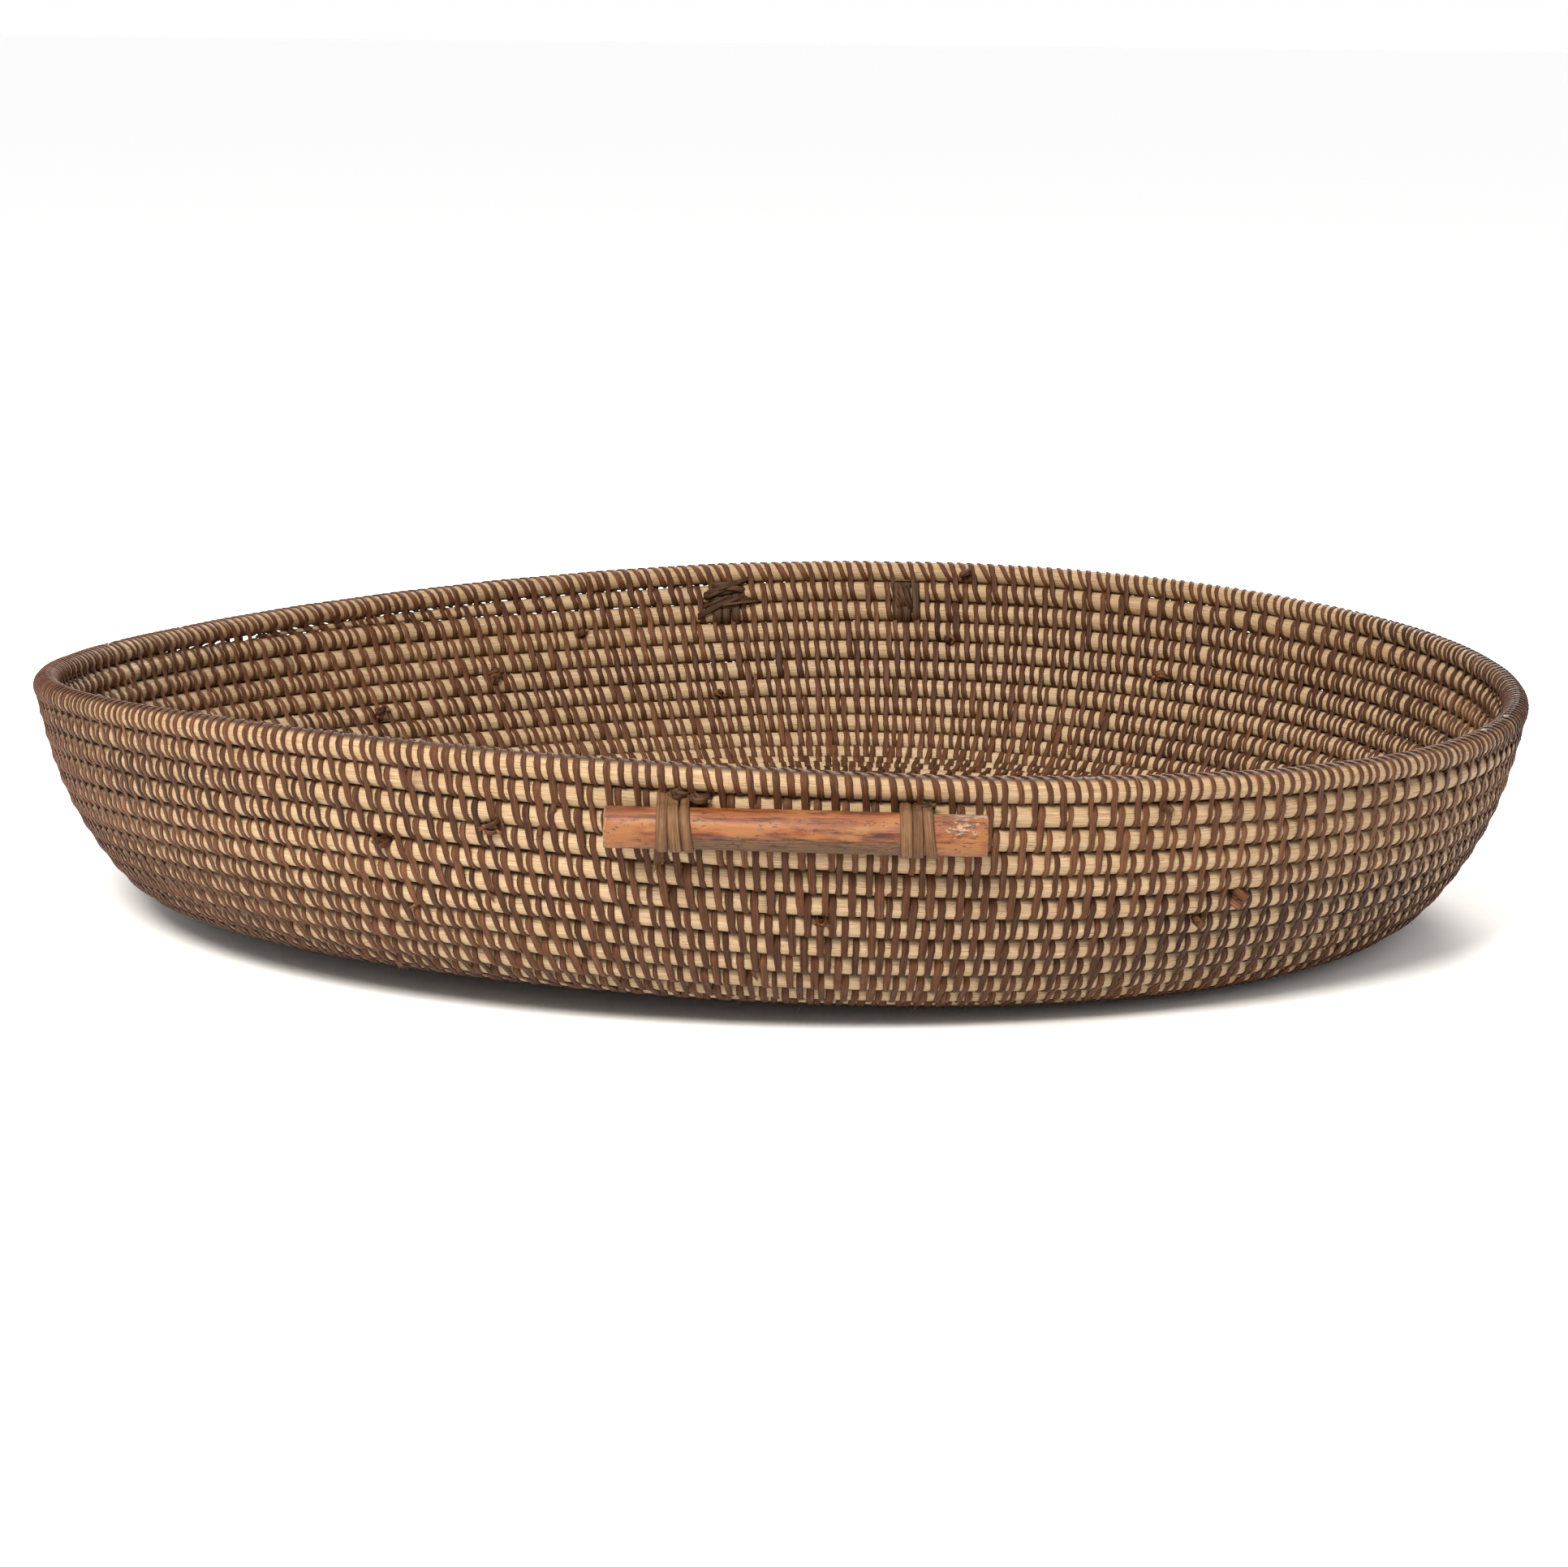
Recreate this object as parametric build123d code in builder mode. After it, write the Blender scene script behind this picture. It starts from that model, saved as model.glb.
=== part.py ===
from build123d import *
import os
from math import atan2, ceil, cos, floor, pi, radians, sin, sqrt

# A coiled winnowing basket: round cane rods laid in one rising spiral, from the centre of a flat
# base up a flared wall, closed by a rim hoop. Two handles of thicker cane are tied under the rim.
# Millimetres, +Z up. The origin is under the middle of the base, on the surface it rests on.
# The front handle is on the -Y side.

os.makedirs("parts", exist_ok=True)

# ---- cane and lashing
rod_diameter = 8.5
row_pitch = 9.2  # from one row of the coil to the next, measured along the wall
rod_length = 2400.0  # one length of cane, before the next one is spliced in
splice_gap = 0.4  # between the butted ends of two lengths
lashing_width = 2.7
lashing_thickness = 0.5
lashing_fit = 0.1  # clearance of a wrap round its rod

# ---- section of the basket, from the rim hoop's centreline down to the middle of the base
rim_radius = 300.0
wall_lean = radians(14.2)  # the straight top of the wall, from the vertical
wall_straight = 21.0
upper_curve_radius = 116.0
upper_curve_end = radians(42.6)  # lean of the wall where the tighter lower curve begins
lower_curve_radius = 35.0

# ---- the basket is out of true: its rim rises and falls round the ring, and the base edge a little
flat_radius = 100.0  # the middle of the base stays flat
saddle_rise = 7.1
saddle_axis = radians(62.6)
wave_rise = 0.9
wave_axis = radians(-20.0)
warp_power = 1.2

# ---- the coil climbs one row in each turn, mostly over a short stretch at the back left
climb_end = radians(163.0)
climb_span = radians(68.0)
start_turn = 1.9  # the rod can't be bent tighter than this, so a knot fills the middle
linear_turns = 2.0  # up to here the coil is an even spiral
base_points, wall_points = 16, 24  # points in each turn that a rod's curve is drawn through
stepped_turns = 26.0  # from here on the rows are level, with all the climb in the stretch above

# ---- rim wraps
wraps_per_turn = 190

# ---- handles
handle_diameter = 15.2
handle_length = 134.0
handle_bevel = 0.8
handle_down = 12.5  # from the rim to the middle of a handle, down the wall
handle_rows = (1, 2)  # the rows of the wall behind a handle, counted from the rim
tie_spacing = 85.0
tie_strips = 3
tie_strip_width = 4.1
tie_strip_pitch = 4.4
tie_thickness = 0.4
tie_inner_gap = 0.6  # between the wall's rods and the strips that cross its inside

# ---- worked out from the dimensions above
rod_radius = rod_diameter / 2
upper_end = wall_straight + upper_curve_radius * (upper_curve_end - wall_lean)
lower_end = upper_end + lower_curve_radius * (pi / 2 - upper_curve_end)
wall_height = (
    wall_straight * cos(wall_lean)
    + upper_curve_radius * (sin(upper_curve_end) - sin(wall_lean))
    + lower_curve_radius * (1 - sin(upper_curve_end))
)
upper_end_radius = (
    rim_radius
    - wall_straight * sin(wall_lean)
    - upper_curve_radius * (cos(wall_lean) - cos(upper_curve_end))
)
base_edge_radius = upper_end_radius - lower_curve_radius * cos(upper_curve_end)
rows_to_centre = (lower_end + base_edge_radius) / row_pitch
rim_turn = round(rows_to_centre)  # the rim hoop lies where this turn of the coil would be
tail_start = rim_turn - climb_span / (2 * pi)


def lean_at(down):
    """Lean of the wall from the vertical, at a distance down the section from the rim."""
    if down < wall_straight:
        return wall_lean
    if down < upper_end:
        return wall_lean + (down - wall_straight) / upper_curve_radius
    if down < lower_end:
        return upper_curve_end + (down - upper_end) / lower_curve_radius
    return pi / 2


def section(down):
    """Radius and height of the coil's centreline, at a distance down the section from the rim."""
    lean = lean_at(down)
    if down < wall_straight:
        return rim_radius - down * sin(lean), wall_height - down * cos(lean)
    if down < upper_end:
        across = wall_straight * sin(wall_lean) + upper_curve_radius * (cos(wall_lean) - cos(lean))
        fall = wall_straight * cos(wall_lean) + upper_curve_radius * (sin(lean) - sin(wall_lean))
        return rim_radius - across, wall_height - fall
    if down < lower_end:
        across = lower_curve_radius * (cos(upper_curve_end) - cos(lean))
        return upper_end_radius - across, lower_curve_radius * (1 - sin(lean))
    return base_edge_radius - (down - lower_end), 0.0


def warp(angle, radius):
    """How far the basket is lifted out of true at a place."""
    grow = max(0.0, (radius - flat_radius) / (rim_radius - flat_radius)) ** warp_power
    saddle = saddle_rise * (1 + cos(2 * (angle - saddle_axis)))
    wave = wave_rise * (1 + cos(3 * (angle - wave_axis)))
    return grow * (saddle + wave)


def coil_point(angle, down):
    """The place on the coil's middle surface at an angle and a distance down from the rim."""
    radius, height = section(down)
    lifted = rod_radius + height + warp(angle, radius)
    return Vector(radius * cos(angle), radius * sin(angle), lifted)


def ease(share):
    """A smooth step from 0 to 1."""
    share = min(1.0, max(0.0, share))
    return share * share * (3 - 2 * share)


def rows_climbed(turn):
    """Rows between the middle of the base and the coil, after a number of turns."""
    whole = floor(turn)
    climb_share = climb_span / (2 * pi)
    stepped = whole + ease((turn - whole - 1 + climb_share) / climb_share)
    blend = min(1.0, max(0.0, (turn - linear_turns) / (stepped_turns - linear_turns)))
    return turn + blend * (stepped - turn)


def down_at(turn):
    """Distance of the coil from the rim, after a number of turns."""
    return row_pitch * (rim_turn - rows_climbed(turn))


def rod_point(turn):
    """The coil's centreline after a number of turns."""
    return coil_point(climb_end + 2 * pi * turn, down_at(turn))


def turn_after(turn, length):
    """The turn at which a rod of a length ends, when it begins at a turn."""
    step = 1 / 144
    place = rod_point(turn)
    while length > 0 and turn < tail_start:
        further = rod_point(turn + step)
        length -= (further - place).length
        place, turn = further, turn + step
    return min(turn, tail_start)


def path_points(place_of, first, last, per_turn):
    """Points along a path from one turn to another, at the same angles in every turn."""
    nearest = 0.3  # of a step: the closest that a point comes to the path's end
    steps = range(ceil(first * per_turn + nearest), floor(last * per_turn - nearest) + 1)
    return [place_of(turn) for turn in (first, *(i / per_turn for i in steps), last)]


# ---- the lengths of cane: where each one begins and ends, in turns of the coil
rod_ends = [start_turn]
while rod_ends[-1] < tail_start:
    rod_ends.append(turn_after(rod_ends[-1], rod_length))
if tail_start - rod_ends[-2] < 0.4:
    rod_ends.pop(-2)  # a short last piece is left on the rod before it
rod_spans = list(zip(rod_ends[:-1], rod_ends[1:]))


def gap_turns(turn):
    """Half of the splice gap, in turns of the coil."""
    radius = section(down_at(turn))[0]
    return splice_gap / 2 / (2 * pi * radius)


# ---- centre knot: the tight start of the coil, bound into a button
knot_outer = row_pitch * start_turn - rod_radius - splice_gap
with BuildPart() as centre_knot:
    with BuildSketch(Plane.XZ) as knot_profile:
        with BuildLine():
            shoulder = rod_radius * 0.9
            Line((0, 0), (knot_outer - shoulder, 0))
            RadiusArc((knot_outer - shoulder, 0), (knot_outer - shoulder, rod_diameter), -rod_radius)
            Line((knot_outer - shoulder, rod_diameter), (0, rod_diameter))
            Line((0, rod_diameter), (0, 0))
        make_face()
    revolve(axis=Axis.Z)

# ---- the spiral rods, from the middle of the base to the last turn under the rim
coil_rods = []
for number, (first, last) in enumerate(rod_spans, start=1):
    is_last = last >= tail_start
    begin = first + gap_turns(first)
    end = last if is_last else last - gap_turns(last)
    with BuildPart() as coil_rod:
        with BuildLine() as rod_path:
            per_turn = base_points if first < stepped_turns else wall_points
            Spline(*path_points(rod_point, begin, end, per_turn))
        with BuildSketch(Plane(origin=rod_path.line @ 0, z_dir=rod_path.line % 0)):
            Circle(rod_radius)
        sweep(path=rod_path.line)
    coil_rods.append(coil_rod)

# ---- the tail: the last rod is shaved to a wedge that fades out between the rim and the wall
tail_steps = 8
tail_length = 0.7  # of the climb, where the wedge has all but closed


def tail_shape(step):
    """Turn, distance down from the rim and radius of the shaved rod, at a step along its wedge."""
    share = tail_length * step / tail_steps
    shaved = ease(share)
    turn = tail_start + share * climb_span / (2 * pi)
    return turn, row_pitch * (1 - shaved / 2), rod_radius - row_pitch / 2 * shaved


def tail_place(step):
    turn, down, _ = tail_shape(step)
    return coil_point(climb_end + 2 * pi * turn, down)


with BuildPart() as rod_tail:
    for step in range(tail_steps + 1):
        along = tail_place(step + 0.05) - tail_place(step - 0.05)
        if step == 0:
            along = rod_point(tail_start) - rod_point(tail_start - 0.001)
        with BuildSketch(Plane(origin=tail_place(step), z_dir=along)):
            Circle(tail_shape(step)[2])
    loft()

# ---- rim hoop: one rod bent into a ring, its two ends butted at the back right
hoop_joint = radians(40.0)


def hoop_point(turn):
    return coil_point(hoop_joint + 2 * pi * turn, 0.0)


with BuildPart() as rim_hoop:
    with BuildLine() as hoop_path:
        hoop_end = splice_gap / rim_radius / (2 * pi)
        Spline(*path_points(hoop_point, hoop_end, 1 - hoop_end, wall_points))
    with BuildSketch(Plane(origin=hoop_path.line @ 0, z_dir=hoop_path.line % 0)):
        Circle(rod_radius)
    sweep(path=hoop_path.line)


# ---- handles: straight cane against the outside of the wall, over the two rows below the rim
class Handle:
    """Where a handle and its ties go: the middle of the handle, its side of the basket, its tilt."""

    def __init__(self, middle_x, side, tilt):
        self.middle_x = middle_x
        self.side = side
        self.tilt = tilt
        self.grooves = (min(handle_rows) - 0.5, max(handle_rows) + 0.5)
        stand_off = rod_radius + lashing_thickness + lashing_fit + handle_diameter / 2
        radius, height = self.wall_place(middle_x)
        self.y = side * sqrt((radius + stand_off * cos(wall_lean)) ** 2 - middle_x**2)
        self.z = height - stand_off * sin(wall_lean)

    def wall_place(self, x):
        """Radius and height of the wall behind the handle, at a place along it."""
        radius = section(handle_down)[0]
        angle = atan2(self.side * sqrt(radius**2 - x**2), x)
        return radius, coil_point(angle, handle_down).Z

    def groove_height(self, x, rows):
        """Height of the groove between two rows, at a number of rows down from the rim."""
        radius = section(row_pitch * rows)[0]
        angle = atan2(self.side * sqrt(radius**2 - x**2), x)
        upper, lower = (coil_point(angle, row_pitch * (rows + half)) for half in (-0.5, 0.5))
        return (upper.Z + lower.Z) / 2

    def strip_outline(self, x):
        """Corners of a strip's loop in the plane across the handle, as outward and upward places."""
        radius, height = self.wall_place(x)
        wall_out = sqrt(radius**2 - x**2)
        handle_z = self.z - (x - self.middle_x) * sin(self.tilt)
        away, above = abs(self.y) - wall_out, handle_z - height
        handle_out = away * cos(wall_lean) - above * sin(wall_lean)
        handle_up = away * sin(wall_lean) + above * cos(wall_lean)
        top, bottom = (self.groove_height(x, groove) - height for groove in self.grooves)
        top = top / cos(wall_lean) + tie_thickness / 2
        bottom = bottom / cos(wall_lean) - tie_thickness / 2
        grip = handle_diameter / 2 + lashing_fit + tie_thickness
        inside = -(rod_radius + tie_inner_gap + tie_thickness)
        corners = [
            (inside, top),
            (inside, bottom),
            (rod_radius, bottom),
            (handle_out + grip, handle_up - grip),
            (handle_out + grip, handle_up + grip),
            (rod_radius, top),
        ]
        return [
            (
                wall_out + out * cos(wall_lean) + up * sin(wall_lean),
                height - out * sin(wall_lean) + up * cos(wall_lean),
            )
            for out, up in corners
        ]


handle_places = {
    "front": Handle(middle_x=5.6, side=-1, tilt=radians(0.8)),
    "back": Handle(middle_x=16.0, side=1, tilt=radians(-0.6)),
}

handles = {}
for name, place in handle_places.items():
    with BuildPart() as handle:
        axis_direction = Vector(cos(place.tilt), 0, -sin(place.tilt))
        middle = Vector(place.middle_x, place.y, place.z)
        end_plane = Plane(origin=middle - axis_direction * handle_length / 2, z_dir=axis_direction)
        with BuildSketch(end_plane):
            Circle(handle_diameter / 2)
        extrude(amount=handle_length)
        chamfer(handle.edges().filter_by(GeomType.CIRCLE), length=handle_bevel)
    handles[name] = handle

# ---- ties: three flat strips side by side round each end of a handle, through the wall
corner_radii = [1.2, 1.2, 2.5, handle_diameter / 2, handle_diameter / 2, 2.5]

ties = {}
for name, place in handle_places.items():
    for end, from_middle in (("left", -tie_spacing / 2), ("right", tie_spacing / 2)):
        with BuildPart() as tie:
            for strip in range(tie_strips):
                x = place.middle_x + from_middle + (strip - (tie_strips - 1) / 2) * tie_strip_pitch
                across = Plane(origin=(x, 0, 0), x_dir=(0, place.side, 0), z_dir=(place.side, 0, 0))
                with BuildSketch(across):
                    with BuildLine():
                        FilletPolyline(*place.strip_outline(x), radius=corner_radii, close=True)
                    make_face()
                    offset(amount=-tie_thickness, mode=Mode.SUBTRACT)
                extrude(amount=tie_strip_width / 2, both=True)
        ties[f"{name}_tie_{end}"] = tie

# ---- rim wraps: short ones round the hoop alone, long ones round the hoop and the row below it
wrap_step = 2 * pi / wraps_per_turn
tie_places = [
    (place.middle_x + offset_x, place.side)
    for place in handle_places.values()
    for offset_x in (-tie_spacing / 2, tie_spacing / 2)
]
tie_clear = (tie_strips * tie_strip_pitch + lashing_width) / 2 + 0.3


def clear_of_ties(angle):
    """Whether a wrap at an angle misses the handle ties, which leave the wall between the wraps."""
    x, y = rim_radius * cos(angle), rim_radius * sin(angle)
    return all(abs(x - tie_x) > tie_clear or y * side < 0 for tie_x, side in tie_places)


def in_climb(angle):
    """Whether an angle lies beside the rod's tail, where no full row lies under the rim."""
    return (climb_end - angle) % (2 * pi) < climb_span + wrap_step


def wrap_plane(angle):
    """A plane across the rim hoop, its X axis pointing down the wall to the next row."""
    here = coil_point(angle, 0.0)
    below = coil_point(angle, row_pitch)
    along = coil_point(angle + wrap_step / 4, 0.0) - coil_point(angle - wrap_step / 4, 0.0)
    return Plane(origin=here, x_dir=below - here, z_dir=along)


wrap_inner = rod_diameter + 2 * lashing_fit
wrap_outer = wrap_inner + 2 * lashing_thickness
short_angles = [i * wrap_step for i in range(wraps_per_turn)]
long_angles = [(i + 0.5) * wrap_step for i in range(wraps_per_turn)]

with BuildPart() as rim_wraps_short:
    with BuildSketch(*[wrap_plane(a) for a in short_angles if clear_of_ties(a)]):
        Circle(wrap_outer / 2)
        Circle(wrap_inner / 2, mode=Mode.SUBTRACT)
    extrude(amount=lashing_width / 2, both=True)

with BuildPart() as rim_wraps_long:
    for angle in long_angles:
        if clear_of_ties(angle) and not in_climb(angle):
            apart = (coil_point(angle, row_pitch) - coil_point(angle, 0.0)).length
            with BuildSketch(wrap_plane(angle)):
                with Locations((apart / 2, 0)):
                    SlotCenterToCenter(apart, wrap_outer)
                    SlotCenterToCenter(apart, wrap_inner, mode=Mode.SUBTRACT)
    extrude(amount=lashing_width / 2, both=True)


# ---- one file for each piece, or group of like pieces
def base_or_wall(first):
    return "base" if down_at(first) > lower_end else "wall"


named = {"centre_knot": centre_knot, "rod_tail": rod_tail, "rim_hoop": rim_hoop}
counts = {"base": 0, "wall": 0}
for (first, _), coil_rod in zip(rod_spans, coil_rods):
    where = base_or_wall(first)
    counts[where] += 1
    named[f"{where}_rod_{counts[where]}"] = coil_rod
for name, handle in handles.items():
    named[f"{name}_handle"] = handle
named.update(ties)
named["rim_wraps_short"] = rim_wraps_short
named["rim_wraps_long"] = rim_wraps_long

for name, piece in named.items():
    piece.part.label = name
    export_step(piece.part, f"parts/{name}.step")

print(f"{len(rod_spans)} lengths of cane; wall {wall_height:.1f} high, base edge {base_edge_radius:.1f}")
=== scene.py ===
from math import atan2, cos, pi, radians, sin, sqrt

import bpy
import numpy as np
from mathutils import Matrix, Vector


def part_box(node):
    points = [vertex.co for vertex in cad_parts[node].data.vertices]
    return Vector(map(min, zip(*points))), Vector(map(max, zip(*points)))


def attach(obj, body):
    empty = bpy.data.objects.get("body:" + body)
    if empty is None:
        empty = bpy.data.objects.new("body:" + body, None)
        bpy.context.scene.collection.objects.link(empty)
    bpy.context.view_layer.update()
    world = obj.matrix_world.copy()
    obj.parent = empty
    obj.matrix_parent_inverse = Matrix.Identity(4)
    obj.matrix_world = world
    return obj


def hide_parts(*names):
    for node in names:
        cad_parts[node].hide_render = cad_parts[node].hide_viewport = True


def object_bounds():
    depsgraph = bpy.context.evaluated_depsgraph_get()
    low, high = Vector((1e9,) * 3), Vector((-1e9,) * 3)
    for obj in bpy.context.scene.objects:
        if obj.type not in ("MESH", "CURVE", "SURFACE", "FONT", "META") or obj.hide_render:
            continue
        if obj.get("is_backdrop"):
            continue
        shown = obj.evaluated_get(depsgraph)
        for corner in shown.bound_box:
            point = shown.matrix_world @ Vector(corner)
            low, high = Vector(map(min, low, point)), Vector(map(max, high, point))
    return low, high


# The looks of a coiled winnowing basket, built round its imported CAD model.
# Lengths are in millimetres and become metres where a mesh is made.

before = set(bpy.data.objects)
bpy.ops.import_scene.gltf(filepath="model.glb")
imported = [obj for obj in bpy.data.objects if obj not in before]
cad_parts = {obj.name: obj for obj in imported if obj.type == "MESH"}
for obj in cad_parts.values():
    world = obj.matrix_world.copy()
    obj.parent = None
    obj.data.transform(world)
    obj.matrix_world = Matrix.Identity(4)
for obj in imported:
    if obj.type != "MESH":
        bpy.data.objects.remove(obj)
cad_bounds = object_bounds()
MM = 0.001
rng = np.random.default_rng(23)  # its draws run on from one part of the script to the next

# ---- cane and lashing
ROD_RADIUS = 4.25
CANE_SWELL = 0.35  # the cane itself is this much thicker than its model
TOP_SWELL = 0.09  # and this much more in the top rows
TOP_SWELL_ROWS = 3.2
CANE_WANDER = 0.14  # up and down the wall
CANE_UNEVEN = 0.012  # of its radius
ROW_PITCH = 9.2
ROD_LENGTH = 2400.0
SHORTEST_ROD = 0.4  # of a turn
ROD_GAP = 0.4  # between the end of one rod and the next
STRIP_WIDTH = 2.65
LONG_RIM_STRIP_WIDTH = 2.6
SHORT_RIM_STRIP_WIDTH = 2.4
STRIP_THICKNESS = 0.55
BASE_STRIP_WIDER = 0.22  # by this share
STITCH_PITCH = (6.0, 8.0)  # in the middle and at the edge of the base, where stitches are added
WALL_STITCHES = 190.45  # a turn; the odd part sets each stitch that far behind the ones below it
LEFT_LEAD = 0.1  # by how much that odd part is more at the left, and less at the right
LEAD_ROW = 5  # rows below the rim, where that makes no difference yet
LEAD_REACH = 6  # rows up and down from there over which it adds up
STITCH_SCATTER = 0.36
STITCH_CROWDING = 0.04  # how much closer the stitches stand at the left
CROWDED_SIDE = radians(-170)
OUTSIDE_SLANT = 2.3  # how far a stitch moves along the coil on the outside
SLANT_CHANGE = 1.4  # and by how much that is more at the left, and less at the right
INSIDE_SLANT = 2.8
LEAST_RADIUS = 6.0  # nearer the middle, stitches are spaced as on a turn of this radius
STITCHES_PER_STRIP = (22, 44)
FEWEST_STITCHES = 6  # a run with fewer of them joins the strip before it
# painted shade: the strips are darkened round the right and the front left of the basket
PAINTED_SHADE_SIDES = ((0.12, 3.5, radians(-8)), (0.14, 2.5, radians(-150)))  # depth, narrowness, middle

# ---- section of the basket, from the rim down to the middle of the base
RIM_RADIUS = 300.0
WALL_LEAN = radians(14.2)
WALL_STRAIGHT = 21.0
UPPER_CURVE_RADIUS = 116.0
UPPER_CURVE_END = radians(42.6)
LOWER_CURVE_RADIUS = 35.0

# ---- how far the basket is out of true
FLAT_RADIUS = 100.0
SADDLE_RISE = 7.1
SADDLE_AXIS = radians(62.6)
WAVE_RISE = 0.9
WAVE_AXIS = radians(-20.0)
WARP_POWER = 1.2
WANDER_WAVES = (2.3, 5.1, 9.7, 17.3, 31.9)  # a turn, in what varies along the coil
WANDER_HEIGHT = 2.2  # of these waves together

# ---- the coil's climb
CLIMB_END = radians(163.0)  # where on each turn the coil has come up to the next row
CLIMB_SPAN = radians(68.0)
CENTRE_TURN = 0.7  # the start of the cane
CENTRE_RADIUS = 1.6  # at which the first stitches go round the middle
START_TURN = 1.9  # the end of the centre and the start of the first rod
LINEAR_TURNS = 2.0  # so far the coil is an even spiral
STEPPED_TURNS = 26.0  # from here on it is level and climbs on a short stretch
TAIL_LENGTH = 0.7  # of the climb

# ---- handles
HANDLE_RADIUS = 7.6
HANDLE_LENGTH = 134.0
HANDLE_ROWS = (1, 2)  # under the rim, which the ties go round
TIE_SPACING = 85.0
TIE_STRIPS = 3
TIE_STRIP_WIDTH = 4.0
TIE_STRIP_THICKNESS = 0.75
TIE_STRIP_PITCH = 4.3
TIE_TOP_SPREAD, TIE_BOTTOM_SPREAD = 0.88, 1.03  # of that pitch
TIE_WRAP = 112  # degrees up and down round the handle
HANDLE_SIDES, HANDLE_RINGS, CORNER_RINGS = 40, 70, 5
CORNER_LENGTH, CORNER_DEPTH = 1.2, 0.9  # of the rounding at its ends
WORN_MIDDLE, WORN_REACH = 2, 40  # along its lower side
SCUFF_MIDDLE, SCUFF_REACH = 58, 10  # along its upper side
END_GRAIN_SHIFT = 300  # away from the grain of its sides

# ---- knots, tufts and fibres
THIN_STRIP = 0.45  # thickness
SMALL_KNOT = 15.0
TUFT_SIZE = 0.85
TUFT_STRIPS = 5
TUFT_LIGHTNESS = 0.45
FIRST_FRAYED_TURN = 24

# ---- worked out from the dimensions above
UPPER_END = WALL_STRAIGHT + UPPER_CURVE_RADIUS * (UPPER_CURVE_END - WALL_LEAN)
LOWER_END = UPPER_END + LOWER_CURVE_RADIUS * (pi / 2 - UPPER_CURVE_END)
WALL_HEIGHT = (
    WALL_STRAIGHT * cos(WALL_LEAN)
    + UPPER_CURVE_RADIUS * (sin(UPPER_CURVE_END) - sin(WALL_LEAN))
    + LOWER_CURVE_RADIUS * (1 - sin(UPPER_CURVE_END))
)
UPPER_END_RADIUS = (
    RIM_RADIUS
    - WALL_STRAIGHT * sin(WALL_LEAN)
    - UPPER_CURVE_RADIUS * (cos(WALL_LEAN) - cos(UPPER_CURVE_END))
)
BASE_EDGE_RADIUS = UPPER_END_RADIUS - LOWER_CURVE_RADIUS * cos(UPPER_CURVE_END)
RIM_TURN = round((LOWER_END + BASE_EDGE_RADIUS) / ROW_PITCH)
CLIMB_SHARE = CLIMB_SPAN / (2 * pi)
TAIL_START = RIM_TURN - CLIMB_SHARE
TAIL_TIP = TAIL_START + TAIL_LENGTH * CLIMB_SHARE


# ---- the shape of the coil, for arrays of places along it
def section(down):
    """Radius and height of the coil's centreline, at distances down the section from the rim."""
    down = np.asarray(down, float)
    upper = np.clip((down - WALL_STRAIGHT) / UPPER_CURVE_RADIUS + WALL_LEAN, WALL_LEAN, UPPER_CURVE_END)
    lower = np.clip((down - UPPER_END) / LOWER_CURVE_RADIUS + UPPER_CURVE_END, UPPER_CURVE_END, pi / 2)
    straight = np.minimum(down, WALL_STRAIGHT)
    radius = (
        RIM_RADIUS
        - straight * sin(WALL_LEAN)
        - UPPER_CURVE_RADIUS * (cos(WALL_LEAN) - np.cos(upper))
        - LOWER_CURVE_RADIUS * (cos(UPPER_CURVE_END) - np.cos(lower))
        - np.maximum(down - LOWER_END, 0)
    )
    height = (
        WALL_HEIGHT
        - straight * cos(WALL_LEAN)
        - UPPER_CURVE_RADIUS * (np.sin(upper) - sin(WALL_LEAN))
        - LOWER_CURVE_RADIUS * (np.sin(lower) - sin(UPPER_CURVE_END))
    )
    return radius, height


def warp(angle, radius):
    """How far the basket is lifted out of true there. The middle of the base stays flat."""
    grow = np.maximum(0.0, (radius - FLAT_RADIUS) / (RIM_RADIUS - FLAT_RADIUS)) ** WARP_POWER
    saddle = SADDLE_RISE * (1 + np.cos(2 * (angle - SADDLE_AXIS)))
    wave = WAVE_RISE * (1 + np.cos(3 * (angle - WAVE_AXIS)))
    return grow * (saddle + wave)


def coil_point(angle, down):
    radius, height = section(down)
    lifted = ROD_RADIUS + height + warp(angle, radius)
    return np.stack([radius * np.cos(angle), radius * np.sin(angle), lifted], -1)


def ease(share):
    """A smooth step from 0 to 1."""
    share = np.clip(share, 0.0, 1.0)
    return share * share * (3 - 2 * share)


def down_at(turn):
    """Distance from the rim after a number of turns. The last whole turn is the rim hoop."""
    whole = np.floor(turn)
    climbed = whole + ease((turn - whole - 1 + CLIMB_SHARE) / CLIMB_SHARE)
    blend = np.clip((turn - LINEAR_TURNS) / (STEPPED_TURNS - LINEAR_TURNS), 0, 1)
    rows = turn + blend * (climbed - turn)
    shaved = ease((turn - TAIL_START) / CLIMB_SHARE)
    down = ROW_PITCH * (RIM_TURN - rows)
    down = np.where(turn > TAIL_START, ROW_PITCH * (1 - shaved / 2), down)
    return np.where(turn >= RIM_TURN, 0.0, down)


def turn_angle(turn):
    return CLIMB_END + 2 * pi * np.asarray(turn, float)


def wander(turn, size, seed):
    """A slow, even wander along the coil, the same each time for the same seed."""
    draw = np.random.default_rng(seed)
    total = np.zeros_like(np.asarray(turn, float))
    for waves in WANDER_WAVES:
        phase, drift = draw.uniform(0, 2 * pi), draw.uniform(0.9, 1.1)
        total += np.sin(2 * pi * turn * waves * drift + phase)
    return size * total / WANDER_HEIGHT


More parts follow.
